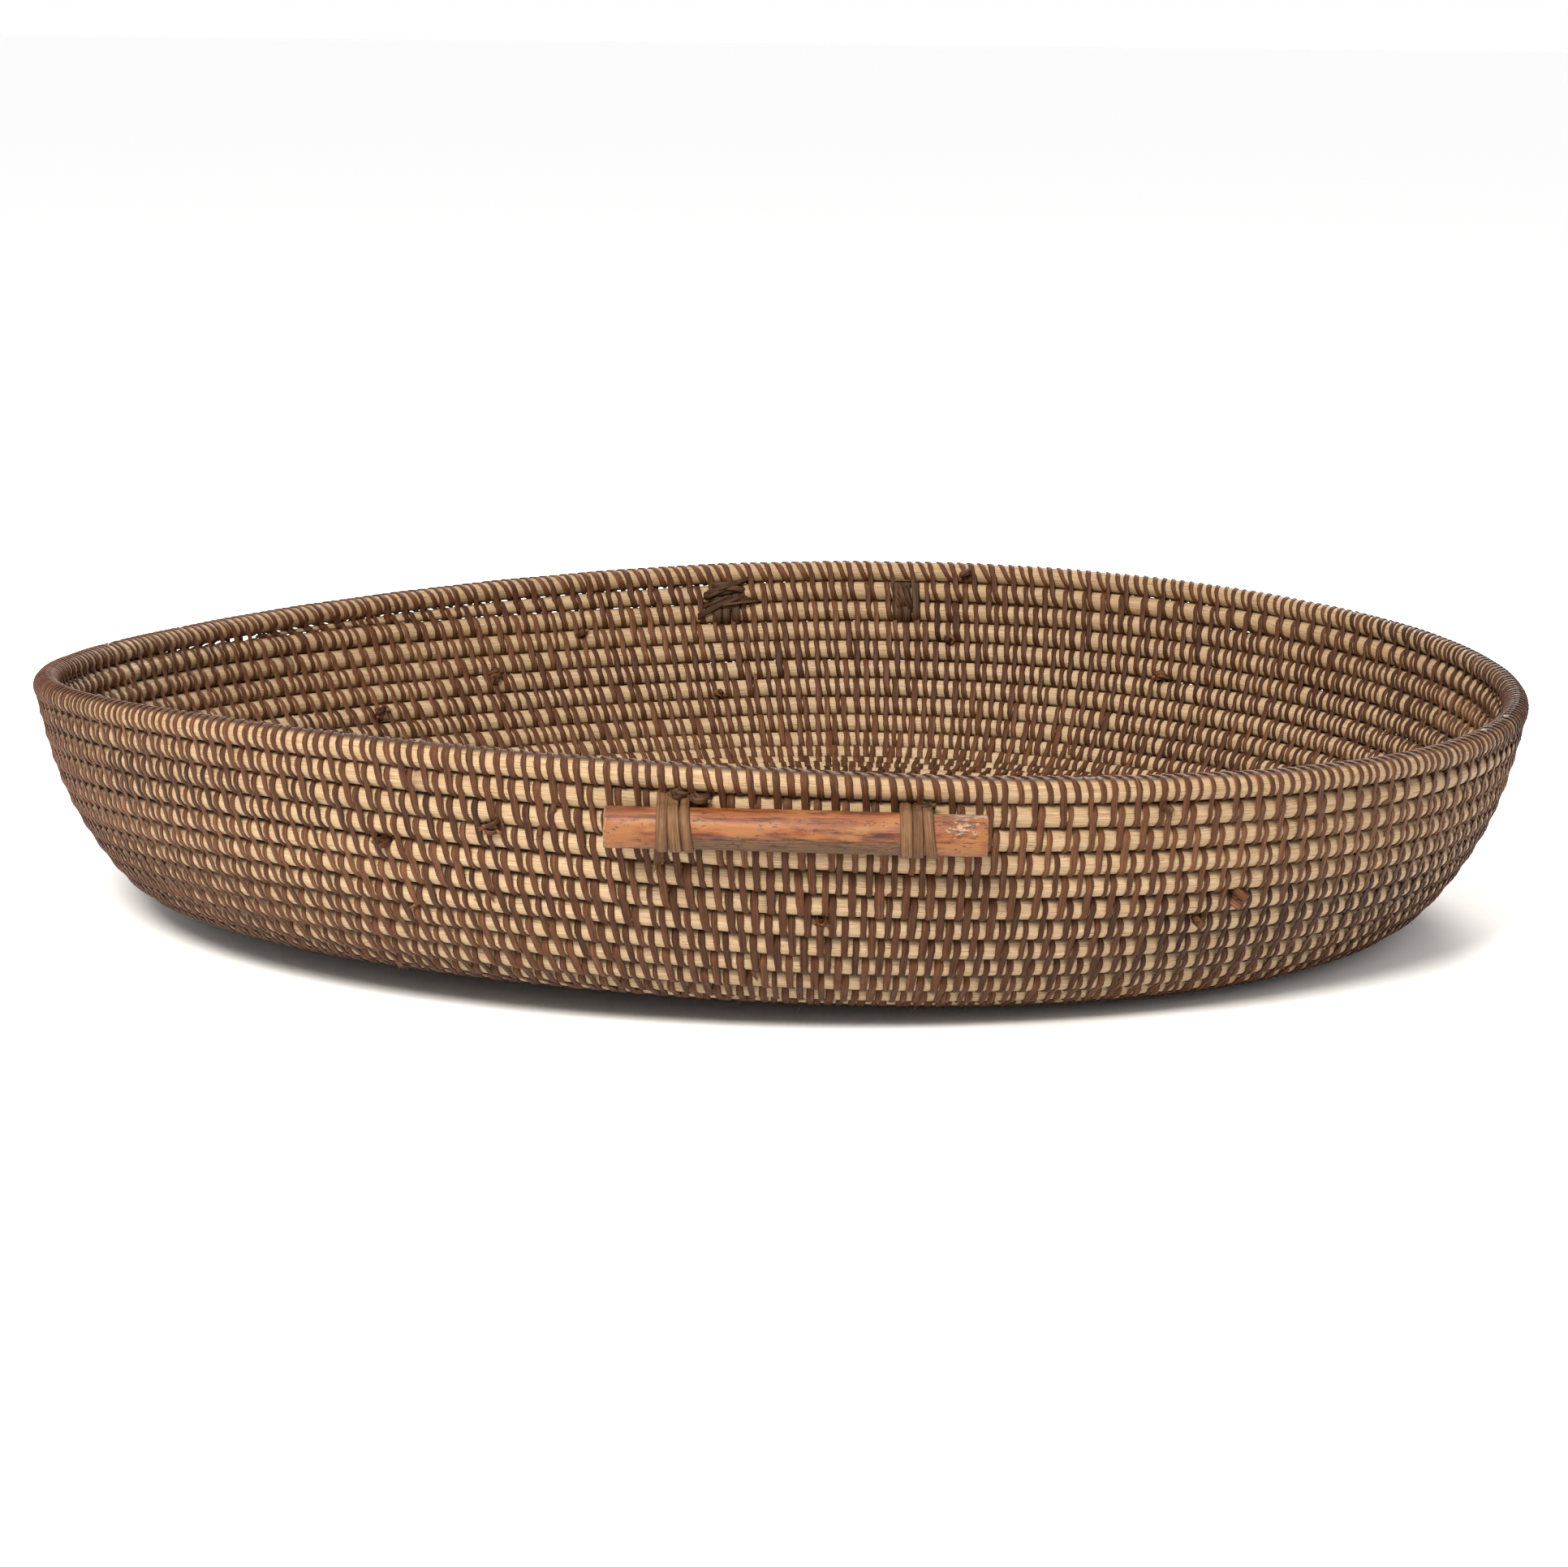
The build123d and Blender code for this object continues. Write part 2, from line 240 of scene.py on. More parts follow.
def rod_centre(turn):
    """The centreline of the coil, with the small unevenness of bent cane."""
    turn = np.asarray(turn, float)
    uneven = wander(turn, CANE_WANDER, 5) * np.clip((turn - 3) / 6, 0, 1)
    return coil_point(turn_angle(turn), down_at(turn) + uneven)


def rod_size(turn):
    """Radius of the rod: a little uneven, thin at its start and shaved to a wedge at its end."""
    turn = np.asarray(turn, float)
    shaved = ease((turn - TAIL_START) / CLIMB_SHARE)
    swell = CANE_SWELL + TOP_SWELL * ease(turn - RIM_TURN + TOP_SWELL_ROWS)
    size = (ROD_RADIUS + swell) * (1 + wander(turn, CANE_UNEVEN, 11))
    tail = np.maximum(0.4, ROD_RADIUS - ROW_PITCH / 2 * shaved)
    size = np.where((turn > TAIL_START) & (turn < RIM_TURN), tail, size)
    start = ease((turn - CENTRE_TURN) / 0.3)
    return size * (0.45 + 0.55 * start)


def turns_for(turn, length):
    """How many turns a length takes up at a turn of the coil."""
    return length / (2 * pi * np.maximum(section(down_at(turn))[0], LEAST_RADIUS))


# ---- lines and meshes from arrays
def unit(vectors):
    return vectors / np.linalg.norm(vectors, axis=-1, keepdims=True)


def lengths_along(line):
    """Distance travelled along a path, at each of its points."""
    return np.concatenate([[0], np.cumsum(np.linalg.norm(np.diff(line, axis=0), axis=1))])


def grid(*coordinates):
    """Coordinates of every point of a mesh, from columns, rows or whole grids of them."""
    return np.stack(np.broadcast_arrays(*coordinates), -1).reshape(-1, 3)


def round_section(centre, out, up, reach, around):
    """Points round a centre, at a distance for each angle from outward towards up."""
    return centre + (reach * np.cos(around))[..., None] * out + (reach * np.sin(around))[..., None] * up


def in_scene(name, data):
    """A new object in the scene, with its mesh, light or camera."""
    thing = bpy.data.objects.new(name, data)
    bpy.context.scene.collection.objects.link(thing)
    return thing


def make_piece(name, points, quads, caps, attributes, material, replaces=()):
    """A mesh piece from points in millimetres, four-sided faces and end faces."""
    mesh = bpy.data.meshes.new(name)
    corners = np.concatenate([quads.ravel()] + list(caps))
    sizes = np.array([4] * len(quads) + [len(cap) for cap in caps])
    mesh.vertices.add(len(points))
    mesh.vertices.foreach_set("co", (points * MM).astype(np.float32).ravel())
    mesh.loops.add(len(corners))
    mesh.loops.foreach_set("vertex_index", corners.astype(np.int32))
    mesh.polygons.add(len(sizes))
    mesh.polygons.foreach_set("loop_start", (np.cumsum(sizes) - sizes).astype(np.int32))
    mesh.update(calc_edges=True)
    mesh.validate()
    for label, values in attributes.items():
        kind, key = ("FLOAT", "value") if values.ndim == 1 else ("FLOAT_VECTOR", "vector")
        layer = mesh.attributes.new(label, kind, "POINT")
        layer.data.foreach_set(key, values.astype(np.float32).ravel())
    mesh.shade_smooth()
    mesh.materials.append(material)
    piece = in_scene(name, mesh)
    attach(piece, "root")
    if replaces:
        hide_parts(*replaces)


def tube_faces(rings, around):
    """Faces joining rings of points, and the two end faces."""
    ring = np.arange(rings - 1)[:, None] * around
    here = np.arange(around)[None, :]
    after = (here + 1) % around
    quads = np.stack([ring + here, ring + after, ring + around + after, ring + around + here], -1)
    last_ring = np.arange(around) + (rings - 1) * around
    return quads.reshape(-1, 4), [np.arange(around)[::-1], last_ring]


def coil_frames(turn):
    """Centre of the rod and unit vectors along it, outward, and up the wall, at turns of the coil."""
    turn = np.asarray(turn, float)
    step = 1e-3
    centre = rod_centre(turn)
    angle, down = turn_angle(turn), down_at(turn)
    along = unit(coil_point(angle + step, down) - coil_point(angle - step, down))
    up = coil_point(angle, down - 0.5) - coil_point(angle, down + 0.5)
    out = unit(np.cross(along, up))
    return centre, along, out, unit(np.cross(out, along))


# ---- rods
ROD_SIDES = 18
ROD_STEPS = 200  # a turn


def rod_mesh(name, first, last, material, replaces, seed):
    """A length of cane along the coil, with its grain running along it."""
    steps = max(12, int((last - first) * ROD_STEPS))
    turn = np.linspace(first, last, steps)
    centre, _, out, up = coil_frames(turn)
    around = np.arange(ROD_SIDES) * 2 * pi / ROD_SIDES
    draw = np.random.default_rng(seed)
    oval = 0.012 * np.cos(2 * around + draw.uniform(0, 2 * pi))
    lobed = 0.008 * np.cos(3 * around + draw.uniform(0, 6))
    reach = rod_size(turn)[:, None] * (1 + oval + lobed)
    points = round_section(centre[:, None], out[:, None], up[:, None], reach, around)
    shift = draw.uniform(0, 500)
    attributes = {
        "grain": grid(
            lengths_along(centre)[:, None] + shift,
            ROD_RADIUS * np.cos(around) + shift,
            ROD_RADIUS * np.sin(around),
        ),
        "tone": np.full(steps * ROD_SIDES, draw.uniform(0, 1)),
        # groove: how near the top or bottom of the rod a point is, the mask for painted shade between the
        # rows
        "groove": np.tile(np.abs(np.sin(around)), steps),
    }
    quads, caps = tube_faces(steps, ROD_SIDES)
    make_piece(name, points.reshape(-1, 3), quads, caps, attributes, material, replaces)


# ---- lashing strips
DIP = 24.0  # how far a strip sinks between two rods, in degrees round each of them
WIDEST_AT = (90 - DIP) / 2  # the middle of its bend round one of them
STRIP_WIDTHS = (1.08, 0.74)  # shares of its width there, and where it is narrowest
PROFILE_ACROSS = np.array([-0.5, -0.36, 0.0, 0.36, 0.5, 0.38, -0.38])  # flat, with a crowned face
PROFILE_OUT = np.array([0.05, 0.5, 0.62, 0.5, 0.05, -0.45, -0.45])
GROOVE_SHARE = 0.12  # of a stitch's step, made between two rods as it goes in
OUTSIDE_POWER = 1.7  # a stitch starts out upright and leans more on its way down
LEAN_SWITCH = (6, 0.06)  # how sharply its lean changes from left to right, and how far from the middle
RIM_SLANT = 0.3  # share of a rim stitch's step that it makes on the outside
RIM_UNDER_SHARE = 0.04
RIM_INSIDE_END = 0.8


def two_rod_loop():
    """Rod (0 the upper, 1 the lower) and angle from outward towards up: outside, then inside."""
    arc = np.linspace(90.0, -DIP, 6)
    outside = [(0, a) for a in arc] + [(1, -a) for a in arc[::-1]]
    inside = [(1, -180 + a) for a in arc[1:]] + [(0, 180 - a) for a in arc[:0:-1]]
    return outside, inside


def one_rod_loop():
    """The same for a stitch round the upper rod alone."""
    arc = np.linspace(90.0, -90.0, 8)
    outside = [(0, a) for a in arc]
    inside = [(0, -180 + a) for a in arc[1:-1]]
    return outside, inside


def rim_shares(start, outside, inside):
    """On the rim the step is seen to be even, from the outside to the end of the inside."""
    slant = RIM_SLANT + wander(start, 0.12, 71) + rng.normal(0, 0.05, len(start))
    slant = np.clip(slant, 0.05, 0.6)[:, None]
    back = slant + RIM_UNDER_SHARE + (RIM_INSIDE_END - slant) * inside
    return np.concatenate([slant * outside, back], 1)


def coil_shares(start, stop, outside, inside):
    """On the coil much of the step is made out of sight, in the groove above the stitch."""
    per_mm = turns_for(start, 1.0) / (stop - start)
    sharpness, offset = LEAN_SWITCH
    to_left = np.tanh(-sharpness * (np.cos(turn_angle(start)) + offset))
    slant = OUTSIDE_SLANT + (SLANT_CHANGE * to_left + rng.normal(0, 0.42, len(start)))
    slant = np.clip(slant * per_mm, 0.02, 0.5)[:, None]
    rise = INSIDE_SLANT + rng.normal(0, 0.3, len(start))
    rise = np.clip(rise * per_mm, 0.1, 0.45)[:, None]
    back = slant + GROOVE_SHARE + rise * inside
    return np.concatenate([slant * outside**OUTSIDE_POWER, back], 1)


def stitch_shares(start, stop, counts):
    """How far along its step a stitch has come, at each place round it: outside, then inside."""
    outside, inside = (np.arange(count) / (count - 1) for count in counts)
    if start[0] >= RIM_TURN:
        return rim_shares(start, outside, inside)
    return coil_shares(start, stop, outside, inside)


def lower_turn(turn):
    """The turn of the row that a stitch grips, below the one that it lashes down."""
    below = turn - 1
    return np.where((turn >= RIM_TURN) & (below > TAIL_TIP), turn - 2, below)


def strip_points(stitches, loop, two_rods):
    """Middle line of a strip, stitch by stitch along the coil, its outward directions and widths."""
    outside, inside = loop
    rod, angle = np.array(outside + inside).T
    start, stop = stitches[:-1], stitches[1:]
    share = stitch_shares(start, stop, (len(outside), len(inside)))
    turn = start[:, None] + share * (stop - start)[:, None]
    below = (lower_turn(start)[:, None] + (turn - start[:, None])).ravel()
    turn = turn.ravel()
    on_lower = np.tile(rod == 1, len(start))
    at = np.where(on_lower, below, turn)
    centre, along, out, up = coil_frames(at)
    size = rod_size(at)
    if two_rods:
        upper_centre, lower_centre = rod_centre(turn), rod_centre(below)
        in_middle = below < CENTRE_TURN
        lower_centre[in_middle] = (0.0, 0.0, ROD_RADIUS)
        size = np.where(in_middle & on_lower, CENTRE_RADIUS, size)
        centre = np.where(on_lower[:, None], lower_centre, upper_centre)
        out = unit(np.cross(along, unit(upper_centre - lower_centre)))
        up = unit(np.cross(out, along))
    turned = np.tile(np.radians(angle), len(start))
    facing = np.cos(turned)[:, None] * out + np.sin(turned)[:, None] * up
    reach = size + STRIP_THICKNESS / 2
    from_level = np.abs(np.minimum(np.abs(angle), 180 - np.abs(angle)))
    narrowing = np.interp(np.abs(from_level - WIDEST_AT), [0, 90 - WIDEST_AT], STRIP_WIDTHS)
    uneven = np.clip(rng.normal(1, 0.09, len(start)), 0.75, 1.25)
    uneven *= 1 + BASE_STRIP_WIDER * np.clip((STEPPED_TURNS + 2 - start) / 3, 0, 1)
    return centre + reach[:, None] * facing, facing, np.outer(uneven, narrowing).ravel()


def sweep_strip(line, facing, width, thickness, tone, seed, narrowing=1.0):
    """Points, faces and attributes of one strip along a line."""
    along = unit(np.gradient(line, axis=0))
    side = unit(np.cross(facing, along))
    face = unit(np.cross(along, side))
    across, out = PROFILE_ACROSS, PROFILE_OUT * thickness
    draw = np.random.default_rng(seed)
    travelled = lengths_along(line)
    slow, quick = (np.sin(travelled / length + draw.uniform(0, 6)) for length in (61, 13))
    widths = width * narrowing * (1 + 0.07 * slow + 0.05 * quick)
    points = (
        line[:, None, :]
        + (widths[:, None] * across)[:, :, None] * side[:, None, :]
        + out[None, :, None] * face[:, None, :]
    )
    shift = draw.uniform(0, 900)
    grain = grid((travelled + shift)[:, None], across * width + shift, out * 2)
    quads, caps = tube_faces(len(line), len(across))
    tones = np.repeat(np.broadcast_to(tone, len(line)), len(across))
    return points.reshape(-1, 3), quads, caps, grain, tones


class Bundle:
    """Strips gathered into one piece."""

    def __init__(self):
        self.points, self.quads, self.caps, self.grain, self.tones = [], [], [], [], []
        self.count = 0

    def add(self, points, quads, caps, grain, tones):
        self.points.append(points)
        self.quads.append(quads + self.count)
        self.caps += [cap + self.count for cap in caps]
        self.grain.append(grain)
        self.tones.append(tones)
        self.count += len(points)

    def piece(self, name, material, slot, replaces=()):
        points, quads = np.concatenate(self.points), np.concatenate(self.quads)
        attributes = {"grain": np.concatenate(self.grain), "tone": np.concatenate(self.tones)}
        make_piece(name, points, quads, self.caps, attributes, material, replaces)


def place_stitches():
    """Turns of the coil at which each stitch starts."""
    marks = np.linspace(CENTRE_TURN + 0.15, RIM_TURN + 1.03, 9000)
    radius = np.maximum(section(down_at(marks))[0], LEAST_RADIUS)
    in_base = 2 * pi * radius / np.interp(radius, [0, BASE_EDGE_RADIUS], STITCH_PITCH)
    rate = np.where(marks < STEPPED_TURNS, np.minimum(in_base, WALL_STITCHES), WALL_STITCHES)
    rate = rate * (1 + STITCH_CROWDING * np.cos(turn_angle(marks) - CROWDED_SIDE))
    counted = np.concatenate([[0], np.cumsum((rate[1:] + rate[:-1]) / 2 * np.diff(marks))])
    rows = np.clip(marks - RIM_TURN + LEAD_ROW, -LEAD_REACH, LEAD_REACH)
    counted += LEFT_LEAD * rows * -np.cos(turn_angle(marks))
    places = np.interp(np.arange(int(counted[-1])), counted, marks)
    return places + rng.normal(0, STITCH_SCATTER, len(places)) * turns_for(places, 1.0)


# ---- materials
KEY_LIGHT_SHARE = 0.65  # of the light, reflected by what looks pure white under the key light


def to_linear(colour):
    """A colour as it looks under the key light, as the parts of the light that are reflected."""
    values = (value / 255 for value in colour)
    linear = (value / 12.92 if value <= 0.04045 else ((value + 0.055) / 1.055) ** 2.4 for value in values)
    return (*(KEY_LIGHT_SHARE * value for value in linear), 1.0)


class Shader:
    """A material's nodes, with a short way to add each kind. Values are outputs or numbers."""

    def __init__(self, name):
        self.material = bpy.data.materials.new(name)
        self.material.use_nodes = True
        self.nodes, self.links = self.material.node_tree.nodes, self.material.node_tree.links
        self.bsdf = self.nodes["Principled BSDF"]

    def put(self, value, socket):
        """Feed a socket with an output, a colour or a number."""
        if isinstance(value, bpy.types.NodeSocket):
            self.links.new(value, socket)
        else:
            socket.default_value = to_linear(value) if isinstance(value, tuple) else value

    def node(self, kind, numbers=()):
        """A new node, with some of its sockets set to numbers."""
        node = self.nodes.new("ShaderNode" + kind)
        for key, number in dict(numbers).items():
            node.inputs[key].default_value = number
        return node

    def attribute(self, name, output="Fac"):
        node = self.node("Attribute")
        node.attribute_name = name
        return node.outputs[output]

    def noise(self, vector, scale, detail=4.0, rough=0.55):
        """Noise over a vector that is first scaled along each of its axes."""
        node = self.node("TexNoise", {"Scale": 1.0, "Detail": detail, "Roughness": rough})
        scaled = self.node("VectorMath", {1: scale})
        scaled.operation = "MULTIPLY"
        self.links.new(vector, scaled.inputs[0])
        self.links.new(scaled.outputs[0], node.inputs["Vector"])
        return node.outputs["Fac"]

    def ramp(self, value, *stops):
        node = self.node("ValToRGB")
        elements = node.color_ramp.elements
        while len(elements) < len(stops):
            elements.new(0.5)
        for element, (place, colour) in zip(elements, stops):
            element.position = place
            element.color = to_linear(colour)
        self.links.new(value, node.inputs["Fac"])
        return node.outputs["Color"]

    def mixed(self, factor, first, second, blend="MIX"):
        node = self.node("Mix")
        node.data_type = "RGBA"
        node.blend_type = blend
        for value, index in ((factor, 0), (first, 6), (second, 7)):
            self.put(value, node.inputs[index])
        return node.outputs[2]

    def maths(self, operation, first, second, clamp=False):
        node = self.node("Math")
        node.operation = operation
        node.use_clamp = clamp
        self.put(first, node.inputs[0])
        self.put(second, node.inputs[1])
        return node.outputs[0]

    def plus(self, value, other, weight, clamp=False):
        """A value, and another one times its weight."""
        return self.maths("ADD", value, self.maths("MULTIPLY", other, weight), clamp)

    def remapped(self, value, low, high, to_low=0.0, to_high=1.0):
        limits = {"From Min": low, "From Max": high, "To Min": to_low, "To Max": to_high}
        node = self.node("MapRange", limits)
        self.links.new(value, node.inputs["Value"])
        return node.outputs["Result"]

    def surface(self, colour, roughness, specular):
        self.links.new(colour, self.bsdf.inputs["Base Color"])
        self.links.new(roughness, self.bsdf.inputs["Roughness"])
        self.bsdf.inputs["Specular IOR Level"].default_value = specular

    def bumped(self, height, strength, distance):
        node = self.node("Bump", {"Strength": strength, "Distance": distance * MM})
        self.links.new(height, node.inputs["Height"])
        self.links.new(node.outputs["Normal"], self.bsdf.inputs["Normal"])


def core_material():
    """Pale cane core: fine broken grain along it, small pits, yellower and greyer lengths, and painted shade
    where each rod meets the rows above and below.
    """
    shader = Shader("core_cane")
    grain = shader.attribute("grain", "Vector")
    tone, groove = shader.attribute("tone"), shader.attribute("groove")
    fibres = shader.noise(grain, (0.10, 3.4, 3.4), 5.0, 0.6)
    streaks = shader.noise(grain, (0.03, 0.9, 0.9), 3.0)
    blotches = shader.noise(grain, (0.06, 0.12, 0.12), 3.0)
    pits = shader.noise(grain, (0.55, 2.2, 2.2), 2.0)
    dark, middle = (0.30, (112, 82, 56)), (0.42, (174, 143, 109))
    colour = shader.ramp(fibres, dark, middle, (0.55, (198, 170, 135)), (0.72, (218, 195, 161)))
    colour = shader.mixed(shader.remapped(streaks, 0.35, 0.7, 0.0, 0.5), colour, (184, 154, 116))
    yellow = shader.mixed(0.5, colour, (232, 196, 138), "MULTIPLY")
    colour = shader.mixed(shader.remapped(tone, 0.55, 1.0, 0.0, 0.5), colour, yellow)
    colour = shader.mixed(shader.remapped(blotches, 0.52, 0.75, 0.0, 0.4), colour, (160, 136, 110))
    dark_pits = shader.remapped(pits, 0.66, 0.74, 0.0, 0.65)
    colour = shader.mixed(dark_pits, colour, (98, 66, 42))
    # painted shade along the top and bottom of each rod, where it meets the rows above and below
    colour = shader.mixed(shader.remapped(groove, 0.82, 0.98, 0.0, 0.95), colour, (58, 36, 24))
    shader.surface(colour, shader.remapped(fibres, 0.3, 0.7, 0.72, 0.5), 0.2)
    shader.bumped(shader.plus(fibres, dark_pits, -0.7), 0.55, 0.22)
    return shader.material


def strip_material(name, dark, middle, light, rough=0.48):
    """Flat cane strip: long fibres and mottling along it, each strip lighter or darker."""
    shader = Shader(name)
    grain, tone = shader.attribute("grain", "Vector"), shader.attribute("tone")
    fibres = shader.noise(grain, (0.045, 3.2, 0.6), 5.0, 0.6)
    broad = shader.noise(grain, (0.02, 0.9, 0.2), 2.0)
    mottle = shader.noise(grain, (0.22, 0.6, 0.2), 4.0)
    value = shader.maths("MULTIPLY", fibres, 0.6)
    value = shader.plus(shader.plus(value, broad, 0.2), mottle, 0.2)
    value = shader.maths("ADD", value, shader.remapped(tone, 0.0, 1.0, -0.17, 0.15))
    colour = shader.ramp(value, (0.28, dark), (0.5, middle), (0.74, light))
    shader.surface(colour, shader.remapped(fibres, 0.3, 0.7, rough + 0.14, rough - 0.08), 0.12)
    shader.bumped(fibres, 0.7, 0.35)
    return shader.material


def handle_material():
    """Cane with its glossy skin on: warm orange-brown, streaked, worn grey along one side."""
    shader = Shader("handle_cane")
    grain = shader.attribute("grain", "Vector")
    worn, cut, scuffed = (shader.attribute(name) for name in ("worn", "cut", "scuffed"))
    streaks = shader.noise(grain, (0.035, 0.55, 0.55), 4.0)
    fine = shader.noise(grain, (0.12, 2.2, 2.2), 5.0, 0.65)
    patches = shader.noise(grain, (0.05, 0.16, 0.16), 3.0)
    specks = shader.noise(grain, (0.35, 0.9, 0.9), 3.0, 0.7)
    mottle = shader.noise(grain, (0.09, 0.5, 0.5), 4.0, 0.7)
    blots = shader.noise(grain, (0.3, 0.5, 0.5), 4.0, 0.6)
    value = shader.plus(shader.maths("MULTIPLY", streaks, 0.6), fine, 0.4)
    dark, middle = (0.35, (40, 18, 8)), (0.45, (94, 42, 11))
    colour = shader.ramp(value, dark, middle, (0.54, (130, 66, 18)), (0.66, (154, 92, 38)))
    colour = shader.mixed(shader.remapped(patches, 0.46, 0.60, 0.0, 0.7), colour, (158, 102, 52))
    rubbed = shader.remapped(shader.plus(worn, mottle, 0.9), 0.78, 1.0, 0.0, 0.92)
    bare = shader.mixed(shader.remapped(fine, 0.38, 0.56), (36, 20, 12), (106, 74, 46))
    colour = shader.mixed(rubbed, colour, bare)
    pale = shader.remapped(shader.maths("MULTIPLY", scuffed, blots), 0.42, 0.5, 0.0, 0.75)
    colour = shader.mixed(pale, colour, (176, 140, 108))
    scuffs = shader.remapped(shader.plus(specks, scuffed, 0.07), 0.585, 0.64, 0.0, 0.85)
    colour = shader.mixed(scuffs, colour, (54, 30, 20))
    colour = shader.mixed(cut, colour, (158, 122, 88))
    rough = shader.plus(shader.remapped(fine, 0.3, 0.7, 0.36, 0.52), rubbed, 0.3)
    shader.surface(colour, shader.plus(rough, cut, 0.4, True), 0.3)
    shader.bsdf.inputs["Coat Weight"].default_value = 0.08
    shader.bsdf.inputs["Coat Roughness"].default_value = 0.22
    shader.bumped(shader.plus(fine, scuffs, -0.5), 0.35, 0.25)
    return shader.material


core = core_material()
lashing = strip_material("lashing", (40, 21, 11), (92, 55, 33), (140, 95, 62))
tie_strip = strip_material("handle_tie", (50, 31, 19), (100, 69, 45), (148, 111, 78), 0.45)
handle_cane = handle_material()


# ---- the rods of the coil
def turn_after(turn, length):
    """The turn at which a rod of a length ends, when it begins at a turn."""
    step = 1 / 144
    marks = np.arange(turn, TAIL_START + step, step)
    reached = lengths_along(coil_point(turn_angle(marks), down_at(marks))) >= length
    return min(marks[np.argmax(reached)], TAIL_START) if reached.any() else TAIL_START


def rod_spans():
    ends = [START_TURN]
    while ends[-1] < TAIL_START:
        ends.append(turn_after(ends[-1], ROD_LENGTH))
    if TAIL_START - ends[-2] < SHORTEST_ROD:
        ends.pop(-2)
    return list(zip(ends[:-1], ends[1:]))


counts = {"base": 0, "wall": 0}
for number, (first, last) in enumerate(rod_spans()):
    where = "base" if down_at(first) > LOWER_END else "wall"
    counts[where] += 1
    name = f"{where}_rod_{counts[where]}"
    rod_mesh(f"{name}_cane", first, last - turns_for(last, ROD_GAP), core, [name], 100 + number)
rod_mesh("rod_tail_cane", TAIL_START, TAIL_TIP, core, ["rod_tail"], 141)
rod_mesh("rim_hoop_cane", RIM_TURN, RIM_TURN + 1 - 1e-4, core, ["rim_hoop"], 142)
rod_mesh("centre_cane", CENTRE_TURN, START_TURN, core, ["centre_knot"], 143)


# ---- the lashing: one strip after another round the coil, each stitch over two rows
def strip_runs(places):
    """First and last stitch of each strip. The next strip starts where the last one ends."""
    begin, final = 0, len(places) - 1
    while begin < final - 1:
        end = min(final, begin + int(rng.integers(*STITCHES_PER_STRIP)))
        if final - end < FEWEST_STITCHES:
            end = final
        yield begin, end
        begin = end


def coil_tone(turn):
    """Darker and lighter runs of strip along the coil at random, with painted shade darkest at the right and
    the front left.
    """
    angle = turn_angle(turn)
    # painted shade, by the angle round the basket
    shades = (depth * np.exp(-narrow * (1 - np.cos(angle - middle))) for depth, narrow, middle in PAINTED_SHADE_SIDES)
    shade = sum(shades)
    return float(np.clip(0.51 - shade + wander(turn, 0.15, 31) + rng.normal(0, 0.1), 0.05, 1.0))


def lash(places, name, loop, two_rods, replaces=(), width=STRIP_WIDTH):
    """Strips along a run of stitches, each strip a piece of its own."""
    for number, (begin, end) in enumerate(strip_runs(places)):
        line, facing, narrowing = strip_points(places[begin:end + 1], loop, two_rods)
        tone, seed = coil_tone(places[begin]), int(rng.integers(1 << 30))
        wide = width * rng.uniform(0.9, 1.08)
        of_stitches = np.random.default_rng(seed + 1).normal(0, 0.05, end - begin)
        tones = np.clip(tone + np.repeat(of_stitches, len(line) // (end - begin)), 0, 1)
        strip = Bundle()
        strip.add(*sweep_strip(line, facing, wide, STRIP_THICKNESS, tones, seed, narrowing))
        strip.piece(f"{name}_{number + 1:03d}", lashing, "lashing", replaces if number == 0 else ())


stitches = place_stitches()
on_coil = stitches[stitches < TAIL_TIP]
on_rim = stitches[(stitches >= RIM_TURN) & (stitches < RIM_TURN + 1)]
on_rim = np.append(on_rim, on_rim[0] + 1)
between = on_rim[:-1] + np.diff(on_rim) * 0.5
between = np.append(between, between[0] + 1)
lash(on_coil, "lashing_strip", two_rod_loop(), True)
lash(on_rim, "rim_long_strip", two_rod_loop(), True, ["rim_wraps_long"], LONG_RIM_STRIP_WIDTH)
lash(between, "rim_short_strip", one_rod_loop(), False, ["rim_wraps_short"], SHORT_RIM_STRIP_WIDTH)


